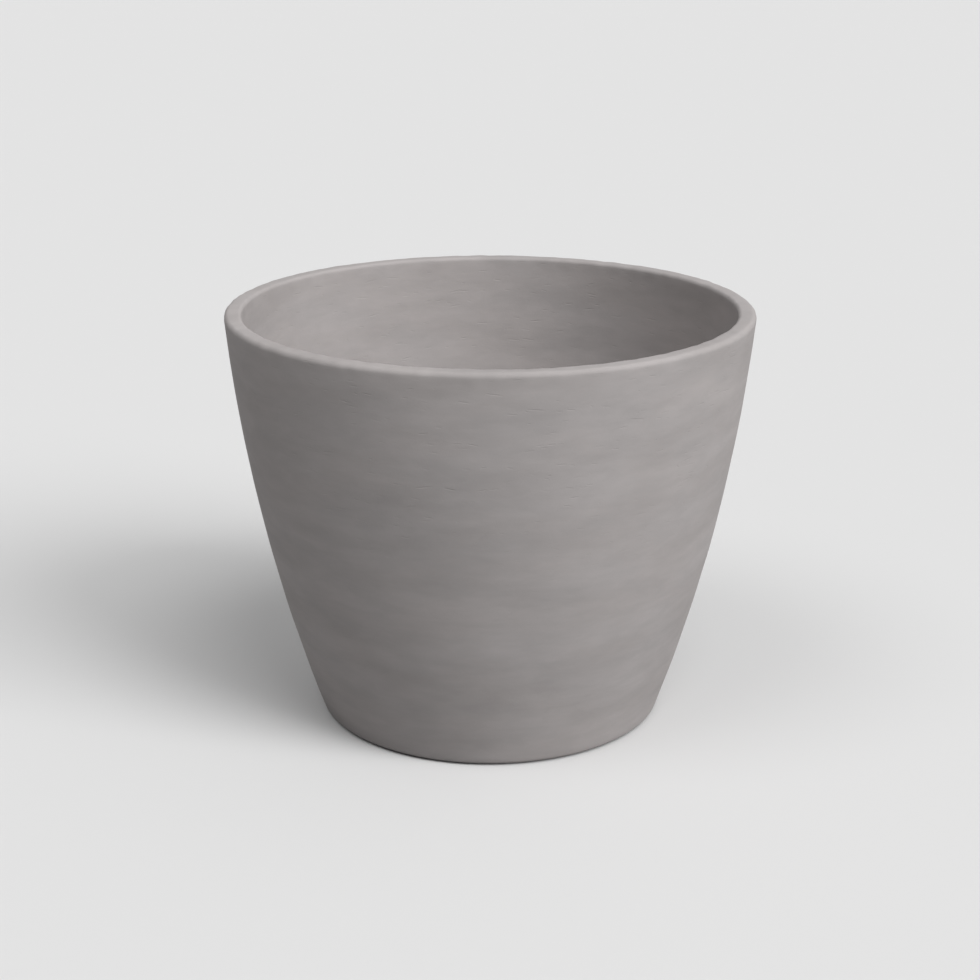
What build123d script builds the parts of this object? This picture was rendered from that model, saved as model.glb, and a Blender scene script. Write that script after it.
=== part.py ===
from build123d import *
import math
import os

# A clay bowl planter for the floor: a tapering pot with a gently bowed wall,
# a thick rounded rim and a foot ring. A rubber stopper closes its drain hole,
# and four thin rubber pads under the foot ring keep it off the floor.
# Millimetres, +Z up. The origin is on the floor, under the middle of the pot.

# Pot body
rim_radius = 200.3           # outer corner of the rim, which its rounding cuts to 200
foot_radius = 133.3          # outer corner of the foot, before it is rounded
overall_height = 318.5       # from the floor to the top of the rim
wall_bow = 10.1              # how far the wall swells out from a straight line
wall_thickness = 13.2        # square to the wall, the same all the way up
floor_thickness = 14.0
rim_outer_rounding = 3.7
rim_inner_rounding = 3.0
floor_corner_rounding = 16.0

# Underside
foot_rounding = 5.0
foot_ring_width = 23.0
recess_depth = 3.0           # how far the underside is hollowed inside the foot ring
recess_rounding = 2.0
drain_radius = 12.0
drain_edge_rounding = 1.5

# Stopper
plug_clearance = 0.3         # all round between the shank and the drain hole
plug_taper = 1.2             # how much slimmer the shank is at its lower end
plug_short_of_hole = 2.0     # how far the shank stops above the underside
plug_lip = 7.0               # how far the flange reaches past the drain hole
plug_flange_thickness = 3.0
plug_edge_rounding = 0.8
knob_radius = 7.0
knob_height = 10.0           # above the flange
knob_neck_radius = 4.5
knob_head_height = 5.0

# Floor pads
pad_count = 4
pad_first_angle = 45.0
pad_thickness = 1.0
pad_margin = 4.5             # from each edge of the foot ring to the pad
pad_edge_rounding = 0.4

# A rounding takes at most this share of the thickness that it is cut into
most_of_outer_rim = 0.52
most_of_inner_rim = 0.38
most_of_thickness = 0.45

# Heights and radii that several pieces share
foot_height = pad_thickness
recess_height = foot_height + recess_depth
floor_height = recess_height + floor_thickness
foot_ring_inner_radius = foot_radius - foot_ring_width
flange_radius = drain_radius + plug_lip


def wall_arc():
    """Centre and radius of the arc that the outer wall follows from foot to rim."""
    run = rim_radius - foot_radius
    rise = overall_height - foot_height
    chord = math.hypot(run, rise)
    radius = (chord**2 / 4 + wall_bow**2) / (2 * wall_bow)
    to_centre = radius - wall_bow
    centre_r = (foot_radius + rim_radius) / 2 - to_centre * rise / chord
    centre_z = (foot_height + overall_height) / 2 + to_centre * run / chord
    return centre_r, centre_z, radius


def wall_point(height, depth=0.0):
    """Point of the wall's arc at a height, a given depth inside the outer face."""
    centre_r, centre_z, radius = wall_arc()
    across = math.sqrt((radius - depth) ** 2 - (height - centre_z) ** 2)
    return Vector(centre_r + across, height)


def rounded(outline, corners):
    """Face inside a closed outline, with each listed corner rounded to its radius."""
    face = make_face(outline)
    for corner, radius in corners:
        face = fillet(face.vertices().sort_by_distance(corner)[0], radius)
    return face


def turned(profile):
    """Solid of revolution of a profile drawn as radius across and height up."""
    return revolve(Plane.XZ * profile, Axis.Z)


def pot_shell():
    """Clay body: wall, rim, floor with its drain hole, and the foot ring below."""
    middle = (foot_height + overall_height) / 2
    foot = wall_point(foot_height)
    rim = wall_point(overall_height)
    rim_inside = wall_point(overall_height, wall_thickness)
    floor_edge = wall_point(floor_height, wall_thickness)
    hole_top = Vector(drain_radius, floor_height)
    hole_bottom = Vector(drain_radius, recess_height)
    recess_corner = Vector(foot_ring_inner_radius, recess_height)
    foot_inside = Vector(foot_ring_inner_radius, foot_height)
    outline = [
        ThreePointArc(foot, wall_point(middle), rim),
        Line(rim, rim_inside),
        ThreePointArc(rim_inside, wall_point(middle, wall_thickness), floor_edge),
        Polyline(floor_edge, hole_top, hole_bottom, recess_corner, foot_inside, foot),
    ]
    recess_fillet = min(recess_rounding, most_of_thickness * recess_depth)
    drain_fillet = min(drain_edge_rounding, most_of_thickness * floor_thickness)
    corners = [
        (foot, foot_rounding),
        (rim, min(rim_outer_rounding, most_of_outer_rim * wall_thickness)),
        (rim_inside, min(rim_inner_rounding, most_of_inner_rim * wall_thickness)),
        (floor_edge, floor_corner_rounding),
        (hole_top, drain_fillet),
        (hole_bottom, drain_fillet),
        (recess_corner, recess_fillet),
        (foot_inside, recess_fillet),
    ]
    return turned(rounded(outline, corners))


def drain_plug():
    """Rubber stopper: a tapered shank in the drain hole, a flange and a pull knob."""
    shank_top = Vector(drain_radius - plug_clearance, floor_height)
    shank_end = Vector(shank_top.X - plug_taper, recess_height + plug_short_of_hole)
    end_middle = Vector(0, shank_end.Y)
    flange_top_height = floor_height + plug_flange_thickness
    flange_under = Vector(flange_radius, floor_height)
    flange_top = Vector(flange_radius, flange_top_height)
    neck_foot = Vector(knob_neck_radius, flange_top_height)
    knob_top_height = flange_top_height + knob_height
    neck_top = Vector(knob_neck_radius, knob_top_height - knob_head_height)
    head_under = Vector(knob_radius, neck_top.Y)
    head_top = Vector(knob_radius, knob_top_height)
    knob_middle = Vector(0, knob_top_height)
    outline = Polyline(
        end_middle,
        shank_end,
        shank_top,
        flange_under,
        flange_top,
        neck_foot,
        neck_top,
        head_under,
        head_top,
        knob_middle,
        close=True,
    )
    flange_fillet = min(plug_edge_rounding, most_of_thickness * plug_flange_thickness)
    head_fillet = most_of_thickness * knob_head_height
    corners = [
        (shank_end, plug_edge_rounding),
        (shank_top, plug_edge_rounding),
        (flange_under, flange_fillet),
        (flange_top, flange_fillet),
        (neck_foot, plug_edge_rounding),
        (neck_top, plug_edge_rounding),
        (head_under, plug_edge_rounding),
        (head_top, head_fillet),
    ]
    return turned(rounded(outline, corners))


def foot_pad(angle):
    """One thin round pad, glued under the foot ring at an angle round the pot."""
    radius = foot_ring_width / 2 - pad_margin
    pad = Cylinder(radius, pad_thickness, align=(Align.CENTER, Align.CENTER, Align.MIN))
    edge_fillet = min(pad_edge_rounding, most_of_thickness * pad_thickness)
    pad = fillet(pad.edges().group_by(Axis.Z)[0], edge_fillet)
    place = Rot(Z=angle) * Pos(X=foot_radius - foot_ring_width / 2)
    return place * pad


os.makedirs("parts", exist_ok=True)
export_step(pot_shell(), "parts/pot_shell.step")
export_step(drain_plug(), "parts/drain_plug.step")
for number in range(pad_count):
    pad_angle = pad_first_angle + number * 360 / pad_count
    export_step(foot_pad(pad_angle), f"parts/foot_pad_{number + 1}.step")
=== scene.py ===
import math

import bpy
import numpy as np
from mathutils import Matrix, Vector, noise


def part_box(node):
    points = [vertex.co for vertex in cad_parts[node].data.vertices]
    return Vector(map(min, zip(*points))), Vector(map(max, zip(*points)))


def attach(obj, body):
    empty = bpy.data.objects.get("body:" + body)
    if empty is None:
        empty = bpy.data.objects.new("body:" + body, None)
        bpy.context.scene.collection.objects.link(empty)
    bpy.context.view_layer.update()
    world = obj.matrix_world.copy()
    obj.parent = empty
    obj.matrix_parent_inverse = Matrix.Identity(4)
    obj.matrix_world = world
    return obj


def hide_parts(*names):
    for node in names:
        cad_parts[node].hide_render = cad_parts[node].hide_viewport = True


# A matte clay planter on a pale floor, with the rubber stopper of its drain hole
# and the rubber pads under its foot. Metres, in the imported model's frame.

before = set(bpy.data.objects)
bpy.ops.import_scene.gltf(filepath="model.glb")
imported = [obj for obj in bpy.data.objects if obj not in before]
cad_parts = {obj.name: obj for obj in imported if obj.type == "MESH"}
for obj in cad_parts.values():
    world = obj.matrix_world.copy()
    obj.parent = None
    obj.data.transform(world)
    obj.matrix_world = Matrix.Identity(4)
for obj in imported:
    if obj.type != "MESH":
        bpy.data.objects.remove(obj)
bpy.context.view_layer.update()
shell_low, shell_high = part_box("pot_shell")

# The pot's own sizes, as it was modelled
RIM_RADIUS = 0.2003          # outer corner of the rim, before it is rounded
FOOT_RADIUS = 0.1333         # outer corner of the foot, before it is rounded
WALL_BOW = 0.0101
WALL_THICKNESS = 0.0132
FLOOR_THICKNESS = 0.014
RECESS_DEPTH = 0.003
FOOT_RING_WIDTH = 0.023
DRAIN_RADIUS = 0.012
RIM_OUTER_ROUNDING = 0.0037
RIM_INNER_ROUNDING = 0.0030
FLOOR_CORNER_ROUNDING = 0.016
FOOT_ROUNDING = 0.005
DRAIN_ROUNDING = 0.0015
RECESS_ROUNDING = 0.00135
FOOT_HEIGHT = shell_low.z
RIM_HEIGHT = shell_high.z
RECESS_HEIGHT = FOOT_HEIGHT + RECESS_DEPTH
FLOOR_HEIGHT = RECESS_HEIGHT + FLOOR_THICKNESS

# How finely the pot is meshed
SEGMENTS = 720
ROW_SPACING = 0.0022
ROUNDING_STEPS = 9

# The hand-finished surface: how far it strays from a perfect turning
WALL_WAVE_DEPTH = 0.00035
WALL_WAVE_LENGTH = 0.11
WALL_WAVE_HEIGHT = 0.035
RIM_WAVE_DEPTH = 0.00045
RIM_WAVE_LENGTH = 0.010
RIM_ZONE = 3 * RIM_OUTER_ROUNDING    # how far below the top the rim's ripple reaches
RELIEF_FADE = 0.008          # the relief dies away over this height at the foot
DRAIN_FLAT = 0.035           # the pot's floor stays flat this far from the middle
RIPPLE_SHIFT = 7             # keeps the rim's ripple apart from the wall's waves

# Cloudy wipes that stand out on the front of the outer wall, the last of them partly a real
# dark patch and partly painted shade low on the front towards the foot: degrees to the right
# of the front, height, half length and half height in metres, rise to the right in degrees,
# and how much lighter or darker the clay is there
WIPES_AND_PAINTED_SHADE = [
    (27, 0.226, 0.045, 0.007, 16, 0.035),
    (42, 0.227, 0.018, 0.009, 10, 0.030),
    (12, 0.283, 0.030, 0.009, 0, -0.030),
    (-12, 0.303, 0.016, 0.006, 8, -0.030),
    (-11, 0.283, 0.022, 0.008, 0, 0.025),
    (-21, 0.240, 0.042, 0.007, -4, 0.025),
    (-18, 0.219, 0.035, 0.007, 0, -0.020),
    (-1, 0.213, 0.014, 0.003, 3, 0.025),
    (-24, 0.197, 0.018, 0.004, 3, 0.020),
    (7, 0.189, 0.050, 0.014, 0, -0.025),
    (15, 0.103, 0.010, 0.004, 0, -0.040),
    (15, 0.096, 0.012, 0.002, 0, 0.030),
    (-37, 0.070, 0.022, 0.010, -10, 0.040),
    # Partly a real dark patch, partly painted shade: darkens the low front of the wall
    # towards the foot
    (4, 0.048, 0.055, 0.035, 0, -0.045),
]
WIPE_STRAY = 0.006           # how far a wipe's edge strays from a smooth shape
WIPE_STRAY_LENGTH = 0.018

# Camera, matched to the photograph
CAMERA_PLACE = (0.0, -1.4164, 0.6373)
CAMERA_DIP = 18.185          # degrees below level
CAMERA_LENS = 70.12
CAMERA_SENSOR = 36.0

# Lights: azimuth from +X towards +Y, height above level and width, in degrees.
# Power 1 is a light that shows a white face square to it as white.
SUNS = {
    "key_light": {"azimuth": 320, "height": 36, "width": 30, "power": 0.50},
    "top_light": {"azimuth": 300, "height": 60, "width": 30, "power": 0.27},
    "side_light": {"azimuth": 340, "height": 12, "width": 30, "power": 0.167},
    "fill_light": {"azimuth": 220, "height": 60, "width": 30, "power": 0.148},
}
SKY_LEVEL = 0.023
SKY_RISE = 0.433             # how much brighter the sky is overhead than at its edge
BACKGROUND = 0.768           # the floor and backdrop, as the camera sees them
FLOOR_BOUNCE = 0.36          # how much of the light the floor throws back on the pot
FLOOR_REACH = 30.0

CLAY = (0.420, 0.394, 0.389)
PLUG_RUBBER = (0.030, 0.029, 0.028)
PAD_RUBBER = (0.018, 0.018, 0.018)

# Scratches in the clay, and how deep the relief of the two materials is, in metres
LONG_SCRATCHES = {"cell": 0.014, "width": 0.0007, "shift": 0.0}
SHORT_SCRATCHES = {"cell": 0.008, "width": 0.0006, "shift": 0.5}
CLAY_RELIEF = 0.0003
RUBBER_RELIEF = 0.00012


def wall_arc():
    """Centre and radius of the arc that the outer wall follows from foot to rim."""
    run = RIM_RADIUS - FOOT_RADIUS
    rise = RIM_HEIGHT - FOOT_HEIGHT
    chord = math.hypot(run, rise)
    radius = (chord**2 / 4 + WALL_BOW**2) / (2 * WALL_BOW)
    to_centre = radius - WALL_BOW
    centre_r = (FOOT_RADIUS + RIM_RADIUS) / 2 - to_centre * rise / chord
    centre_z = (FOOT_HEIGHT + RIM_HEIGHT) / 2 + to_centre * run / chord
    return centre_r, centre_z, radius


def wall_point(height, depth=0.0):
    """Point of the wall's arc at a height, a given depth inside the outer face."""
    centre_r, centre_z, radius = wall_arc()
    across = math.sqrt((radius - depth) ** 2 - (height - centre_z) ** 2)
    return np.array([centre_r + across, height])


def rounding(before, corner, after, radius):
    """Points round a corner between the straight ways to it from before and after."""
    to_before = (before - corner) / np.linalg.norm(before - corner)
    to_after = (after - corner) / np.linalg.norm(after - corner)
    middle = to_before + to_after
    middle /= np.linalg.norm(middle)
    half_angle = math.acos(np.clip(to_before @ middle, -1, 1))
    centre = corner + middle * radius / math.sin(half_angle)
    start = corner + to_before * radius / math.tan(half_angle) - centre
    end = corner + to_after * radius / math.tan(half_angle) - centre
    first = math.atan2(start[1], start[0])
    turn = math.atan2(end[1], end[0]) - first
    turn = (turn + math.pi) % (2 * math.pi) - math.pi
    angles = first + turn * np.linspace(0, 1, ROUNDING_STEPS)
    return centre + radius * np.stack([np.cos(angles), np.sin(angles)], axis=1)


def spaced(points, spacing):
    """The same line with more points, so that none is further apart than spacing."""
    line = [points[0]]
    for a, b in zip(points[:-1], points[1:]):
        count = max(1, math.ceil(np.linalg.norm(b - a) / spacing))
        line += [a + (b - a) * step / count for step in range(1, count + 1)]
    return np.array(line)


def wall_line(low, high, depth):
    """Points up the wall between two heights, a given depth inside the outer face."""
    count = math.ceil((high - low) / ROW_SPACING)
    return np.array([wall_point(z, depth) for z in np.linspace(low, high, count)])


def shell_profile():
    """Closed outline of the pot's section, from the foot up the outside and back inside."""
    foot = wall_point(FOOT_HEIGHT)
    rim = wall_point(RIM_HEIGHT)
    rim_inside = wall_point(RIM_HEIGHT, WALL_THICKNESS)
    floor_edge = wall_point(FLOOR_HEIGHT, WALL_THICKNESS)
    hole_top = np.array([DRAIN_RADIUS, FLOOR_HEIGHT])
    hole_bottom = np.array([DRAIN_RADIUS, RECESS_HEIGHT])
    recess_corner = np.array([FOOT_RADIUS - FOOT_RING_WIDTH, RECESS_HEIGHT])
    foot_inside = np.array([FOOT_RADIUS - FOOT_RING_WIDTH, FOOT_HEIGHT])
    step = ROW_SPACING
    above_foot = wall_point(FOOT_HEIGHT + step)
    below_rim = wall_point(RIM_HEIGHT - step)
    below_rim_inside = wall_point(RIM_HEIGHT - step, WALL_THICKNESS)
    above_floor = wall_point(FLOOR_HEIGHT + FLOOR_CORNER_ROUNDING, WALL_THICKNESS)
    foot_turn = rounding(foot_inside, foot, above_foot, FOOT_ROUNDING)
    rim_turn = rounding(below_rim, rim, rim_inside, RIM_OUTER_ROUNDING)
    rim_inner_turn = rounding(rim, rim_inside, below_rim_inside, RIM_INNER_ROUNDING)
    floor_turn = rounding(above_floor, floor_edge, hole_top, FLOOR_CORNER_ROUNDING)
    outside = wall_line(foot_turn[-1][1] + step, rim_turn[0][1] - step, 0.0)
    inside = wall_line(floor_turn[0][1] + step, rim_inner_turn[-1][1] - step, WALL_THICKNESS)
    parts = [
        foot_turn,
        outside,
        rim_turn,
        rim_inner_turn,
        inside[::-1],
        floor_turn,
        rounding(floor_edge, hole_top, hole_bottom, DRAIN_ROUNDING),
        rounding(hole_top, hole_bottom, recess_corner, DRAIN_ROUNDING),
        rounding(hole_bottom, recess_corner, foot_inside, RECESS_ROUNDING),
        rounding(recess_corner, foot_inside, foot, RECESS_ROUNDING),
    ]
    line = np.vstack(parts)
    return spaced(np.vstack([line, line[:1]]), 2 * step)[:-1]


def outward(profile):
    """Unit normals of a closed profile that runs up the outside and down the inside."""
    along = np.roll(profile, -1, axis=0) - np.roll(profile, 1, axis=0)
    along /= np.linalg.norm(along, axis=1, keepdims=True)
    return np.stack([along[:, 1], -along[:, 0]], axis=1)


def relief(point, radius, height, rim_share):
    """How far the hand-finished surface stands out at a point, in metres."""
    if radius < DRAIN_FLAT:
        return 0.0
    wave = noise.noise(Vector((
        point[0] / WALL_WAVE_LENGTH,
        point[1] / WALL_WAVE_LENGTH,
        height / WALL_WAVE_HEIGHT,
    )))
    ripple = noise.noise(Vector((
        point[0] / RIM_WAVE_LENGTH,
        point[1] / RIM_WAVE_LENGTH,
        height / RIM_WAVE_LENGTH + RIPPLE_SHIFT,
    )))
    above_foot = min(1.0, max(0.0, (height - FOOT_HEIGHT - FOOT_ROUNDING) / RELIEF_FADE))
    return above_foot * (WALL_WAVE_DEPTH * wave + RIM_WAVE_DEPTH * rim_share * ripple)


def make_mesh(name, vertices, faces):
    """A smooth-shaded mesh object."""
    mesh = bpy.data.meshes.new(name)
    mesh.from_pydata(vertices, [], faces)
    mesh.polygons.foreach_set("use_smooth", [True] * len(mesh.polygons))
    mesh.update()
    made = bpy.data.objects.new(name, mesh)
    bpy.context.scene.collection.objects.link(made)
    return made


def wipe_and_painted_shade_tone(points):
    """How much lighter or darker the wipes, one of them partly painted shade low on the
    front, leave each point of the outer wall.
    """
    across = np.hypot(points[:, 0], points[:, 1])
    angle = np.degrees(np.arctan2(points[:, 0], -points[:, 1]))
    centre_r, centre_z, radius = wall_arc()
    half_way = (radius - WALL_THICKNESS / 2) ** 2 - (points[:, 2] - centre_z) ** 2
    outside = across > centre_r + np.sqrt(half_way)
    stray = [noise.noise_vector(Vector(point) / WIPE_STRAY_LENGTH) for point in points]
    stray = WIPE_STRAY * np.array(stray)
    tone = np.zeros(len(points))
    for middle, height, half_length, half_height, rise, amount in WIPES_AND_PAINTED_SHADE:
        right = np.radians(angle - middle) * across + stray[:, 0]
        up = points[:, 2] - height + stray[:, 2] * half_height / half_length
        cos, sin = math.cos(math.radians(rise)), math.sin(math.radians(rise))
        along = (right * cos + up * sin) / half_length
        aside = (up * cos - right * sin) / half_height
        tone += amount * np.exp(-(along**2) - aside**2)
    return tone * outside


def build_pot():
    """The clay body, turned about the axis, with its hand-finished relief."""
    profile = shell_profile()
    normals = outward(profile)
    vertices = []
    for segment in range(SEGMENTS):
        angle = 2 * math.pi * segment / SEGMENTS
        cos, sin = math.cos(angle), math.sin(angle)
        for (radius, height), (out_r, out_z) in zip(profile, normals):
            rim_share = max(0.0, 1 - (RIM_HEIGHT - height) / RIM_ZONE)
            place = (radius * cos, radius * sin)
            lift = relief(place, radius, height, rim_share)
            moved = radius + out_r * lift
            vertices.append((moved * cos, moved * sin, height + out_z * lift))
    rows = len(profile)
    faces = []
    for segment in range(SEGMENTS):
        here, following = segment * rows, (segment + 1) % SEGMENTS * rows
        for row in range(rows):
            upper = (row + 1) % rows
            faces.append((here + row, following + row, following + upper, here + upper))
    pot = make_mesh("clay_pot", vertices, faces)
    # Stores each point's wipe tone, with the painted shade low on the front, on the mesh
    wiped_and_painted_shade = pot.data.attributes.new("wiped_and_painted_shade", "FLOAT", "POINT")
    wiped_and_painted_shade.data.foreach_set("value", wipe_and_painted_shade_tone(np.array(vertices)))
    return pot


class Paint:
    """A node material that is built up one node at a time."""

    def __init__(self, name, roughness, specular):
        self.material = bpy.data.materials.new(name)
        self.material.use_nodes = True
        self.tree = self.material.node_tree
        self.shader = self.tree.nodes["Principled BSDF"]
        self.shader.inputs["Roughness"].default_value = roughness
        self.shader.inputs["Specular IOR Level"].default_value = specular
        self.place = self.tree.nodes.new("ShaderNodeTexCoord").outputs["Object"]

    def put(self, socket, value):
        """Links a socket to another node's output, or sets it to a fixed value."""
        if isinstance(value, bpy.types.NodeSocket):
            self.tree.links.new(value, socket)
        else:
            socket.default_value = value

    def grain(self, size, detail=3.0, offset=(0, 0, 0), tilt=(0, 0, 0), distortion=0.0):
        """Cloudy noise whose patches have about these sizes along X, Y and Z, 0 to 1."""
        mapping = self.tree.nodes.new("ShaderNodeMapping")
        self.put(mapping.inputs["Vector"], self.place)
        mapping.inputs["Scale"].default_value = [1 / s for s in size]
        mapping.inputs["Location"].default_value = offset
        mapping.inputs["Rotation"].default_value = [math.radians(a) for a in tilt]
        texture = self.tree.nodes.new("ShaderNodeTexNoise")
        self.put(texture.inputs["Vector"], mapping.outputs[0])
        texture.inputs["Scale"].default_value = 1.0
        texture.inputs["Detail"].default_value = detail
        texture.inputs["Distortion"].default_value = distortion
        return texture.outputs["Fac"]

    def math(self, operation, first, second=0.0, clamp=False):
        """One sum on two values, each a number or another node's output."""
        sum_node = self.tree.nodes.new("ShaderNodeMath")
        sum_node.operation = operation
        sum_node.use_clamp = clamp
        self.put(sum_node.inputs[0], first)
        self.put(sum_node.inputs[1], second)
        return sum_node.outputs[0]

    def span(self, value, low, high, to_low=0.0, to_high=1.0):
        """A value taken from one range to another, smoothly, and kept inside it."""
        ranged = self.tree.nodes.new("ShaderNodeMapRange")
        ranged.interpolation_type = "SMOOTHSTEP"
        self.put(ranged.inputs["Value"], value)
        ranged.inputs["From Min"].default_value = low
        ranged.inputs["From Max"].default_value = high
        ranged.inputs["To Min"].default_value = to_low
        ranged.inputs["To Max"].default_value = to_high
        return ranged.outputs["Result"]

    def vector(self, operation, first, second=(0, 0, 0)):
        """One sum on two vectors, each fixed or another node's output."""
        sum_node = self.tree.nodes.new("ShaderNodeVectorMath")
        sum_node.operation = operation
        self.put(sum_node.inputs[0], first)
        self.put(sum_node.inputs[1], second)
        return sum_node.outputs["Value" if operation == "LENGTH" else "Vector"]

    def attribute(self, name):
        """A value that the mesh carries at each of its points."""
        carried = self.tree.nodes.new("ShaderNodeAttribute")
        carried.attribute_name = name
        return carried.outputs["Fac"]

    def scratches(self, cell, width, shift):
        """Short level dents, at most one to a cell of this size, 1 along their middle."""
        place = self.vector("ADD", self.place, (shift, shift, shift))
        cells = self.tree.nodes.new("ShaderNodeTexVoronoi")
        self.put(cells.inputs["Vector"], place)
        cells.inputs["Scale"].default_value = 1 / cell
        away = self.vector("SUBTRACT", place, cells.outputs["Position"])
        split = self.tree.nodes.new("ShaderNodeSeparateXYZ")
        self.put(split.inputs[0], away)
        luck = self.tree.nodes.new("ShaderNodeSeparateColor")
        self.put(luck.inputs[0], cells.outputs["Color"])
        level = self.vector("MULTIPLY", away, (1, 1, 0))
        reach = self.vector("LENGTH", level)
        slant = self.math("MULTIPLY", self.math("SUBTRACT", luck.outputs[0], 0.5), 0.4)
        rise = self.math("MULTIPLY", split.outputs["X"], slant)
        drop = self.math("ABSOLUTE", self.math("SUBTRACT", split.outputs["Z"], rise))
        length = self.span(luck.outputs[1], 0.2, 1.0, 0.15 * cell, 0.5 * cell)
        along = self.math("SUBTRACT", 1.0, self.math("DIVIDE", reach, length), clamp=True)
        across = self.math("SUBTRACT", 1.0, self.math("DIVIDE", drop, width), clamp=True)
        chosen = self.span(luck.outputs[2], 0.4, 0.75)
        mark = self.math("MULTIPLY", self.math("POWER", along, 0.5), across)
        return self.math("MULTIPLY", mark, chosen)

    def shade(self, color, amount):
        """A colour made lighter or darker by a factor that varies over the surface."""
        scaled = self.tree.nodes.new("ShaderNodeVectorMath")
        scaled.operation = "SCALE"
        self.put(scaled.inputs[0], color)
        self.put(scaled.inputs["Scale"], amount)
        return scaled.outputs[0]

    def blend(self, share, first, second):
        """Two fixed colours mixed by a share that varies over the surface."""
        mixed = self.tree.nodes.new("ShaderNodeMix")
        mixed.data_type = "RGBA"
        self.put(mixed.inputs[0], share)
        self.put(mixed.inputs[6], (*first, 1))
        self.put(mixed.inputs[7], (*second, 1))
        return mixed.outputs[2]

    def bump(self, height, depth):
        """Lets a height, 0 to 1, stand for relief of a given depth in metres."""
        bumped = self.tree.nodes.new("ShaderNodeBump")
        bumped.inputs["Strength"].default_value = 1.0
        bumped.inputs["Distance"].default_value = depth
        self.put(bumped.inputs["Height"], height)
        self.put(self.shader.inputs["Normal"], bumped.outputs[0])


def scaled_color(color, factors):
    """A fixed colour with each channel made lighter or darker."""
    return tuple(float(c) for c in np.array(color) * np.array(factors))


def clay_paint():
    """Unglazed grey-taupe clay: clouds, mottle, level wipes, painted shade low on the front
    of the wall, short scratches and grain.
    """
    paint = Paint("clay", roughness=0.88, specular=0.2)
    clouds = paint.grain((0.085, 0.085, 0.024), detail=5.0, tilt=(1, -2, 0), distortion=0.4)
    mottle = paint.grain((0.020, 0.020, 0.007), detail=4.0, offset=(3, 1, 5), distortion=0.4)
    wipes = paint.grain((0.15, 0.15, 0.013), detail=3.0, offset=(6, 2, 4), tilt=(1, 1, 0))
    fine = paint.grain((0.0016, 0.0016, 0.0012), detail=2.0, offset=(9, 4, 2))
    long_marks = paint.scratches(**LONG_SCRATCHES)
    short_marks = paint.scratches(**SHORT_SCRATCHES)
    height = paint.tree.nodes.new("ShaderNodeSeparateXYZ")
    paint.put(height.inputs[0], paint.place)
    upper = paint.span(height.outputs["Z"], 0.10, 0.26, 0.25, 1.0)
    scratch = paint.math("MULTIPLY", paint.math("MAXIMUM", long_marks, short_marks), upper)
    tone = paint.span(clouds, 0.25, 0.75, 0.940, 1.060)
    tone = paint.math("MULTIPLY", tone, paint.span(mottle, 0.25, 0.75, 0.970, 1.030))
    tone = paint.math("MULTIPLY", tone, paint.span(wipes, 0.25, 0.75, 0.978, 1.022))
    tone = paint.math("MULTIPLY", tone, paint.span(fine, 0.2, 0.8, 0.992, 1.008))
    # The wipes carried by the mesh, with the painted shade low on the front of the wall
    tone = paint.math("ADD", tone, paint.attribute("wiped_and_painted_shade"))
    tone = paint.math("SUBTRACT", tone, paint.math("MULTIPLY", scratch, 0.03))
    warmth = paint.grain((0.07, 0.07, 0.03), detail=2.0, offset=(1, 2, 9))
    warm = scaled_color(CLAY, (1.003, 0.999, 0.996))
    cool = scaled_color(CLAY, (0.997, 1.001, 1.004))
    color = paint.blend(paint.span(warmth, 0.3, 0.7), warm, cool)
    paint.put(paint.shader.inputs["Base Color"], paint.shade(color, tone))
    paint.put(paint.shader.inputs["Roughness"], paint.span(mottle, 0.2, 0.8, 0.82, 0.94))
    relief_height = paint.math("MULTIPLY", fine, 0.05)
    relief_height = paint.math("ADD", relief_height, paint.math("MULTIPLY", mottle, 0.4))
    dent = paint.math("MULTIPLY", scratch, 0.45)
    relief_height = paint.math("SUBTRACT", relief_height, dent)
    paint.bump(relief_height, CLAY_RELIEF)
    return paint.material


def rubber_paint(name, color):
    """Matte moulded rubber with a faint bloom, dust in its grain and rubbed patches."""
    paint = Paint(name, roughness=0.7, specular=0.4)
    bloom = paint.grain((0.012, 0.012, 0.008), detail=4.0, distortion=0.5)
    grain = paint.grain((0.0005, 0.0005, 0.0005), detail=2.0, offset=(4, 1, 2))
    rubbed = paint.grain((0.005, 0.005, 0.003), detail=3.0, offset=(7, 3, 1))
    dust = scaled_color(color, (2.4, 2.4, 2.4))
    paint.put(
        paint.shader.inputs["Base Color"],
        paint.blend(paint.span(bloom, 0.4, 0.75), color, dust),
    )
    paint.put(paint.shader.inputs["Roughness"], paint.span(rubbed, 0.3, 0.7, 0.55, 0.85))
    relief_height = paint.math("ADD", grain, paint.math("MULTIPLY", rubbed, 0.5))
    paint.bump(relief_height, RUBBER_RELIEF)
    return paint.material


def dress(piece, material):
    """Gives a piece this one material."""
    piece.data.materials.clear()
    piece.data.materials.append(material)


def towards(azimuth, height):
    """Unit vector towards a place in the sky, given in degrees."""
    a, h = math.radians(azimuth), math.radians(height)
    return Vector((math.cos(a) * math.cos(h), math.sin(a) * math.cos(h), math.sin(h)))


def add_suns():
    """The wide soft lamps of the studio."""
    for name, sun in SUNS.items():
        lamp = bpy.data.lights.new(name, "SUN")
        lamp.energy = math.pi * sun["power"]
        lamp.angle = math.radians(sun["width"])
        made = bpy.data.objects.new(name, lamp)
        way = towards(sun["azimuth"], sun["height"])
        made.rotation_mode = "QUATERNION"
        made.rotation_quaternion = way.to_track_quat("Z", "Y")
        bpy.context.scene.collection.objects.link(made)


def seen_directly(tree):
    """1 for what is seen straight, mirrored or through glass, and 0 for diffuse light."""
    path = tree.nodes.new("ShaderNodeLightPath")
    seen = path.outputs["Is Camera Ray"]
    for ray in ("Is Glossy Ray", "Is Transmission Ray"):
        either = tree.nodes.new("ShaderNodeMath")
        either.operation = "MAXIMUM"
        tree.links.new(seen, either.inputs[0])
        tree.links.new(path.outputs[ray], either.inputs[1])
        seen = either.outputs[0]
    return seen


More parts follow.
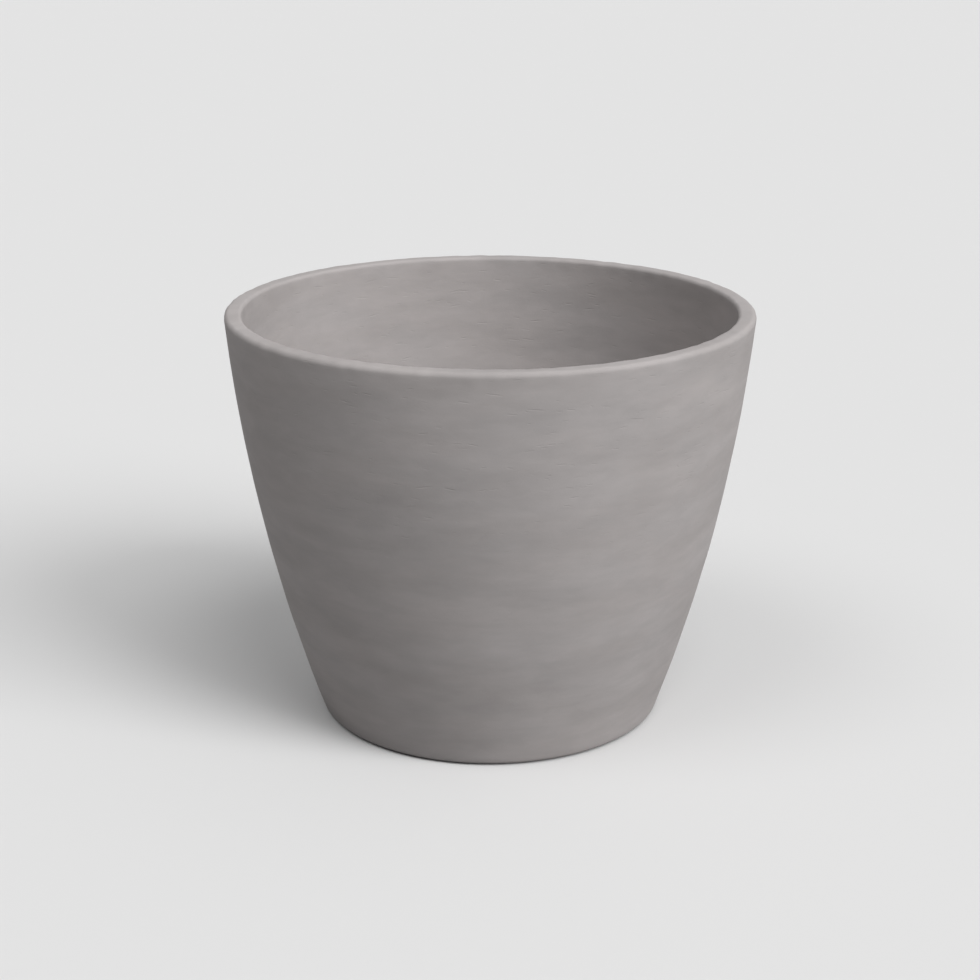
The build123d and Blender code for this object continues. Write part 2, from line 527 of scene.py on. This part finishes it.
def add_sky():
    """A soft sky that lights the pot, and a plain pale backdrop for the camera."""
    world = bpy.data.worlds.new("studio")
    bpy.context.scene.world = world
    world.use_nodes = True
    tree = world.node_tree
    light = tree.nodes["Background"]
    way = tree.nodes.new("ShaderNodeTexCoord")
    split = tree.nodes.new("ShaderNodeSeparateXYZ")
    tree.links.new(way.outputs["Generated"], split.inputs[0])
    up = tree.nodes.new("ShaderNodeMath")
    up.operation = "MULTIPLY_ADD"
    up.use_clamp = True
    tree.links.new(split.outputs["Z"], up.inputs[0])
    up.inputs[1].default_value = SKY_RISE
    up.inputs[2].default_value = SKY_LEVEL
    light.inputs["Color"].default_value = (1, 1, 1, 1)
    tree.links.new(up.outputs[0], light.inputs["Strength"])
    backdrop = tree.nodes.new("ShaderNodeBackground")
    backdrop.inputs["Color"].default_value = (BACKGROUND, BACKGROUND, BACKGROUND, 1)
    choice = tree.nodes.new("ShaderNodeMixShader")
    tree.links.new(seen_directly(tree), choice.inputs[0])
    tree.links.new(light.outputs[0], choice.inputs[1])
    tree.links.new(backdrop.outputs[0], choice.inputs[2])
    tree.links.new(choice.outputs[0], tree.nodes["World Output"].inputs[0])


def add_floor():
    """A plain pale floor that keeps the pot's shadow."""
    reach = FLOOR_REACH
    corners = [(-reach, -reach, 0), (reach, -reach, 0), (reach, reach, 0), (-reach, reach, 0)]
    floor = make_mesh("floor", corners, [(0, 1, 2, 3)])
    material = bpy.data.materials.new("floor")
    material.use_nodes = True
    tree = material.node_tree
    tree.nodes.remove(tree.nodes["Principled BSDF"])
    seen = tree.nodes.new("ShaderNodeBsdfDiffuse")
    seen.inputs["Color"].default_value = (BACKGROUND, BACKGROUND, BACKGROUND, 1)
    bounce = tree.nodes.new("ShaderNodeBsdfDiffuse")
    bounce.inputs["Color"].default_value = (FLOOR_BOUNCE, FLOOR_BOUNCE, FLOOR_BOUNCE, 1)
    choice = tree.nodes.new("ShaderNodeMixShader")
    tree.links.new(seen_directly(tree), choice.inputs[0])
    tree.links.new(bounce.outputs[0], choice.inputs[1])
    tree.links.new(seen.outputs[0], choice.inputs[2])
    tree.links.new(choice.outputs[0], tree.nodes["Material Output"].inputs["Surface"])
    dress(floor, material)


def add_camera():
    """The camera, at the photograph's place and angle."""
    lens = bpy.data.cameras.new("camera")
    lens.lens = CAMERA_LENS
    lens.sensor_width = CAMERA_SENSOR
    camera = bpy.data.objects.new("camera", lens)
    camera.location = CAMERA_PLACE
    camera.rotation_euler = (math.radians(90 - CAMERA_DIP), 0, 0)
    bpy.context.scene.collection.objects.link(camera)
    bpy.context.scene.camera = camera


add_camera()
add_suns()
add_sky()
add_floor()

pot = build_pot()
dress(pot, clay_paint())
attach(pot, "planter")
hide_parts("pot_shell")

plug_material = rubber_paint("plug_rubber", PLUG_RUBBER)
pad_material = rubber_paint("pad_rubber", PAD_RUBBER)
for name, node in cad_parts.items():
    if name.startswith("foot_pad"):
        dress(node, pad_material)
dress(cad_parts["drain_plug"], plug_material)

bpy.context.scene.view_settings.view_transform = "Standard"
